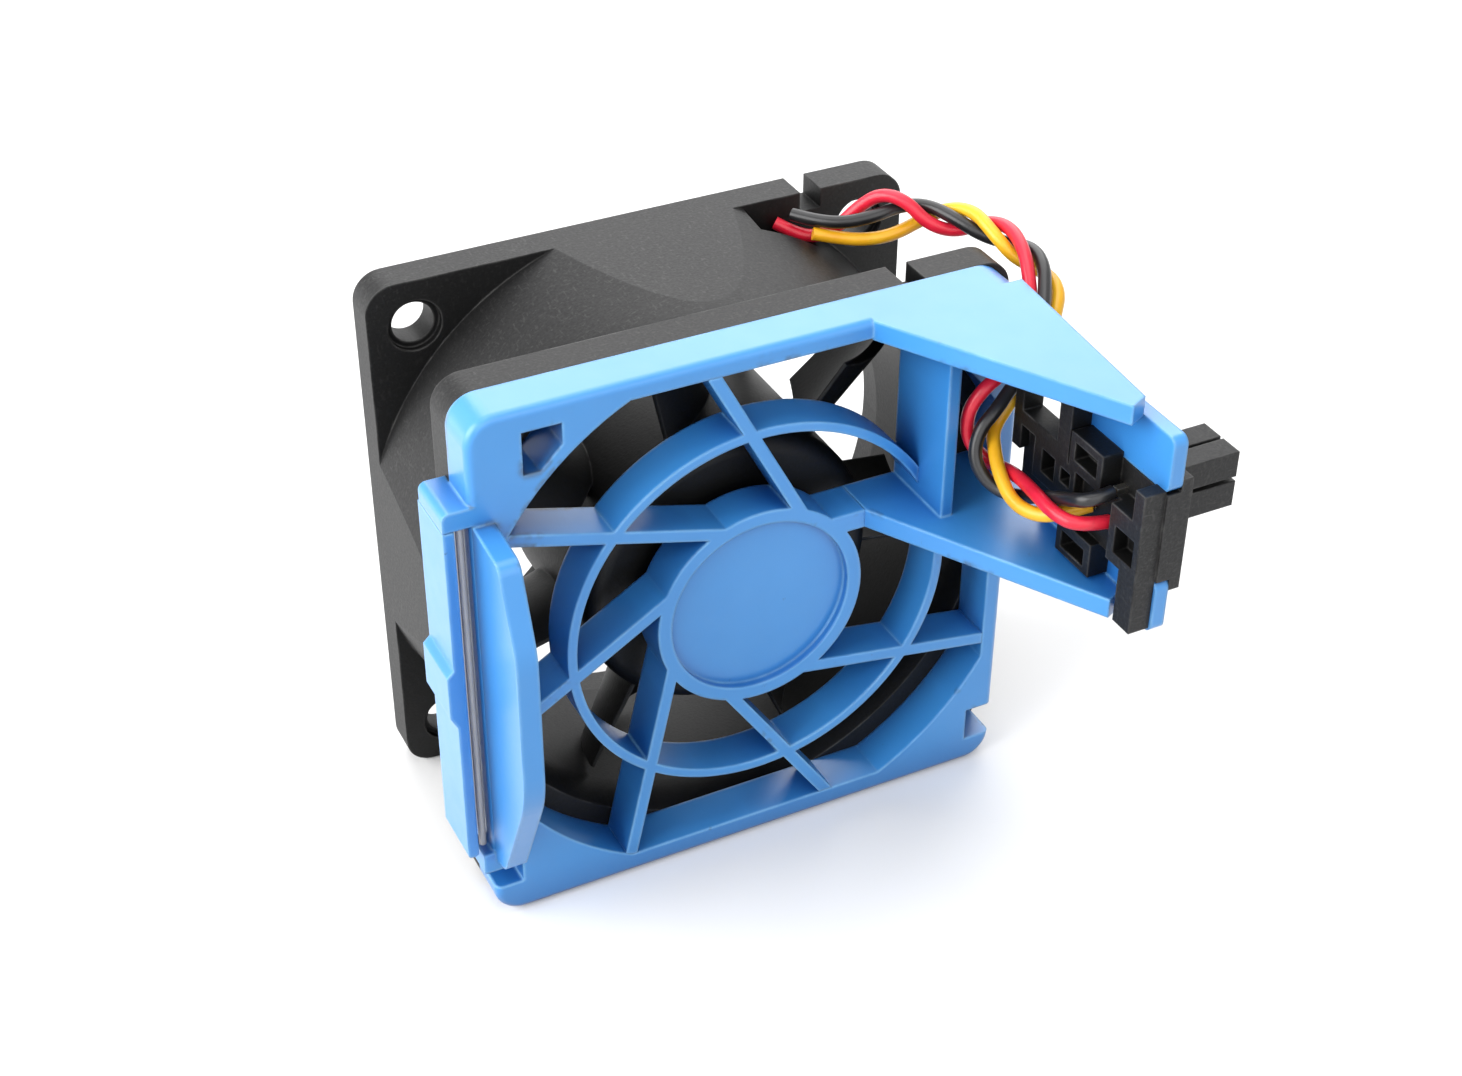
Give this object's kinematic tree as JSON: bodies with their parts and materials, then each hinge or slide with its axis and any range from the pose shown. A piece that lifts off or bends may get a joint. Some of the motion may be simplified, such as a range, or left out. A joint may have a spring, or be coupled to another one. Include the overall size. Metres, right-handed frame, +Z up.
{
  "type": "server fan module",
  "caption": "Axial fan in a latching plastic carrier with a finger guard, a finger tab and an arm that holds a blind-mate plug.",
  "frame": {"origin": "centre of the screw pattern in the fan's rear face, on the fan axis", "axes": "+X the way the plug mates, +Y the airflow from guard to rear, +Z up as pictured"},
  "size_m": [0.0724, 0.0577, 0.062],
  "materials": {
    "carrier_blue": "satin moulded plastic",
    "black_plastic": "fine-grained glass-filled plastic",
    "steel": "plain steel",
    "spring_steel": "bright wire",
    "laminated_steel": "stamped laminations",
    "magnet": "bonded ferrite",
    "insulator": "natural plastic",
    "enamelled_copper": "enamelled wire",
    "board": "solder mask",
    "chip": "moulded epoxy",
    "tinned_contact": "tinned",
    "red_insulation": "soft insulation",
    "black_insulation": "soft insulation",
    "yellow_insulation": "soft insulation"
  },
  "bodies": {
    "housing": {"carrier": "carrier_blue", "finger_guard": "carrier_blue", "latch_spring": "spring_steel", "fan_housing": "black_plastic", "connector_holder": "black_plastic", "connector_plug": "black_plastic", "rear_bearing": "steel", "front_bearing": "steel", "stator_core": "laminated_steel", "front_insulator": "insulator", "rear_insulator": "insulator", "windings": "enamelled_copper", "circuit_board": "board", "hall_sensor": "chip", "driver_chip": "chip", "contacts": "tinned_contact", "lead_red": "red_insulation", "lead_black": "black_insulation", "lead_yellow": "yellow_insulation"},
    "rotor": {"impeller": "black_plastic", "rotor_yoke": "steel", "rotor_magnet": "magnet", "shaft": "steel", "preload_spring": "spring_steel", "retaining_clip": "steel"},
    "latch": {"latch_arm": "carrier_blue"}
  },
  "joints": [
    {"name": "impeller_spin", "type": "hinge", "parent": "housing", "child": "rotor", "pos_m": [0, 0, 0], "axis": [0, 1, 0], "continuous": true},
    {"name": "latch_flex", "type": "hinge", "parent": "housing", "child": "latch", "pos_m": [-0.03215, -0.02715, 0.01888], "axis": [0, -1, 0], "range_deg": [0, 0.7]}
  ]
}
